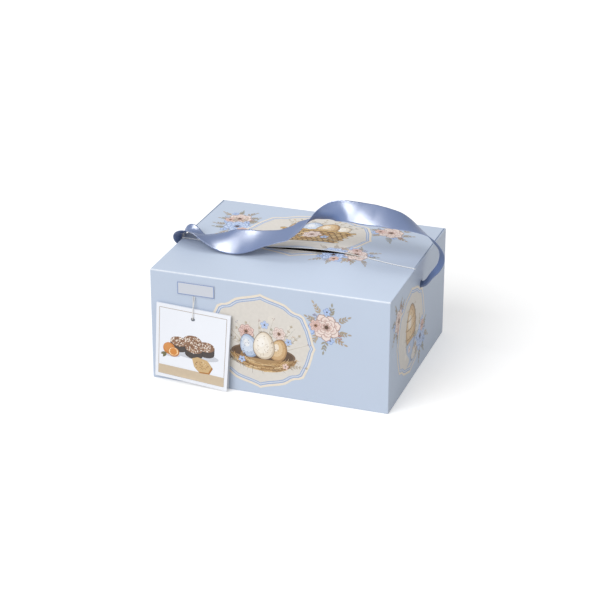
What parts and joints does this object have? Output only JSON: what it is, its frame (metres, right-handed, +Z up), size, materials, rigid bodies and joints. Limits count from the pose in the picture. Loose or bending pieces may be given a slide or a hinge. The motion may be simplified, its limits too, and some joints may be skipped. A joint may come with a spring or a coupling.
{
  "type": "gift carton with ribbon handle",
  "caption": "Shut rectangular gift carton for an Easter bread, with a tuck lid, a satin ribbon handle through holes in its sides, a small paper label and a folded hang tag on a string.",
  "frame": {"origin": "middle of the carton's base, on the surface it stands on", "axes": "+X to the right along the carton's width, -Y out of the front face that carries the tag, +Z up"},
  "size_m": [0.3232, 0.2403, 0.2055],
  "materials": {
    "carton_board": "printed pale-blue carton board with a soft matt coating",
    "ribbon_satin": "slate-blue satin ribbon with bright bands of sheen across it",
    "label_paper": "matt grey-white paper with a thin blue border",
    "tag_card": "smooth white card with a taupe line and a beige band",
    "string_cotton": "pale twisted cotton string"
  },
  "bodies": {
    "root": {"carton": "carton_board", "ribbon": "ribbon_satin", "label": "label_paper", "tag": "tag_card", "tag_string": "string_cotton"}
  },
  "joints": []
}
